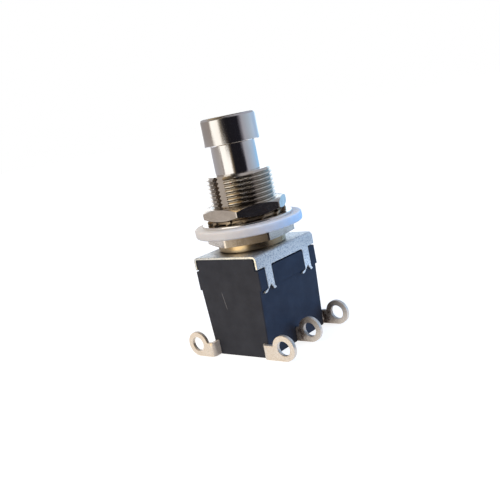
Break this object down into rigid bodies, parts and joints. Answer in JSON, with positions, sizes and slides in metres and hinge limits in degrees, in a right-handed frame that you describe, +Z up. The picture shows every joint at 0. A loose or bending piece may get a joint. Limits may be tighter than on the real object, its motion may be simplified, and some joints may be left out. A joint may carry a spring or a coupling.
{
  "type": "foot switch",
  "caption": "Panel-mount foot switch: nickel plunger in a threaded bushing with nuts and washers, on a tapered black housing with a folded frame and eyelet solder lugs.",
  "frame": {"origin": "under the housing, in the middle of its flat bottom, on the plunger's axis", "axes": "+Z up along the plunger; the frame's flanges and the lugs face -X and +X; the keyway faces -Y"},
  "size_m": [0.0243, 0.0202, 0.0421],
  "materials": {
    "nickel_plunger": "polished nickel plate",
    "nickel_bushing": "nickel plate with a warm tone",
    "nickel_nut": "nickel plate, slightly dull",
    "steel_washer": "plated spring steel",
    "lock_steel": "spring steel, dark and brownish",
    "nylon": "translucent natural nylon",
    "zinc_sheet": "bright zinc plate with a fine grain",
    "black_moulding": "matt charcoal phenolic moulding",
    "lug_plate": "tinned brass, champagne tone",
    "natural_plastic": "natural acetal",
    "spring_wire": "drawn spring wire",
    "pin_steel": "ground steel pin",
    "contact_metal": "silvered brass"
  },
  "bodies": {
    "body": {"housing": "black_moulding", "base": "black_moulding", "frame": "zinc_sheet", "bushing": "nickel_bushing", "guide_plate": "natural_plastic", "backing_nut": "nickel_nut", "nylon_washer": "nylon", "flat_washer": "steel_washer", "lock_washer": "lock_steel", "panel_nut": "nickel_nut", "return_spring": "spring_wire", "rocker_pin": "pin_steel", "terminal_front_left": "lug_plate", "terminal_mid_left": "lug_plate", "terminal_rear_left": "lug_plate", "fixed_contact_front_left": "contact_metal", "fixed_contact_rear_left": "contact_metal", "terminal_front_right": "lug_plate", "terminal_mid_right": "lug_plate", "terminal_rear_right": "lug_plate", "fixed_contact_front_right": "contact_metal", "fixed_contact_rear_right": "contact_metal"},
    "plunger": {"plunger": "nickel_plunger", "pusher_pin": "pin_steel"},
    "pusher": {"pusher": "natural_plastic"},
    "rocker": {"rocker": "natural_plastic", "contact_pin_left": "contact_metal", "contact_pin_right": "contact_metal", "contact_spring_left": "spring_wire", "contact_spring_right": "spring_wire"},
    "blade_left": {"contact_blade_left": "contact_metal"},
    "blade_right": {"contact_blade_right": "contact_metal"}
  },
  "joints": [
    {"name": "plunger_press", "type": "slide", "parent": "body", "child": "plunger", "axis": [0, 0, -1], "range_m": [0, 0.0035], "stiffness_N_per_m": 3000, "springref_m": -0.003, "deforming": ["return_spring"]},
    {"name": "rocker_tilt", "type": "hinge", "parent": "body", "child": "rocker", "pos_m": [0, 0, 0.0098], "axis": [1, 0, 0], "range_deg": [0, 24]},
    {"name": "pusher_swing", "type": "hinge", "parent": "plunger", "child": "pusher", "pos_m": [0, 0, 0.02215], "axis": [1, 0, 0], "range_deg": [-24, 0]},
    {"name": "contact_left_tilt", "type": "hinge", "parent": "body", "child": "blade_left", "pos_m": [0, 0, 0.00417], "axis": [1, 0, 0], "range_deg": [-16, 0]},
    {"name": "contact_right_tilt", "type": "hinge", "parent": "body", "child": "blade_right", "pos_m": [0, 0, 0.00417], "axis": [1, 0, 0], "range_deg": [-16, 0]}
  ],
  "couplings": [
    {"joint": "pusher_swing", "follows": "rocker_tilt", "ratio": -1},
    {"joint": "contact_left_tilt", "follows": "rocker_tilt", "ratio": -0.66667},
    {"joint": "contact_right_tilt", "follows": "rocker_tilt", "ratio": -0.66667}
  ]
}
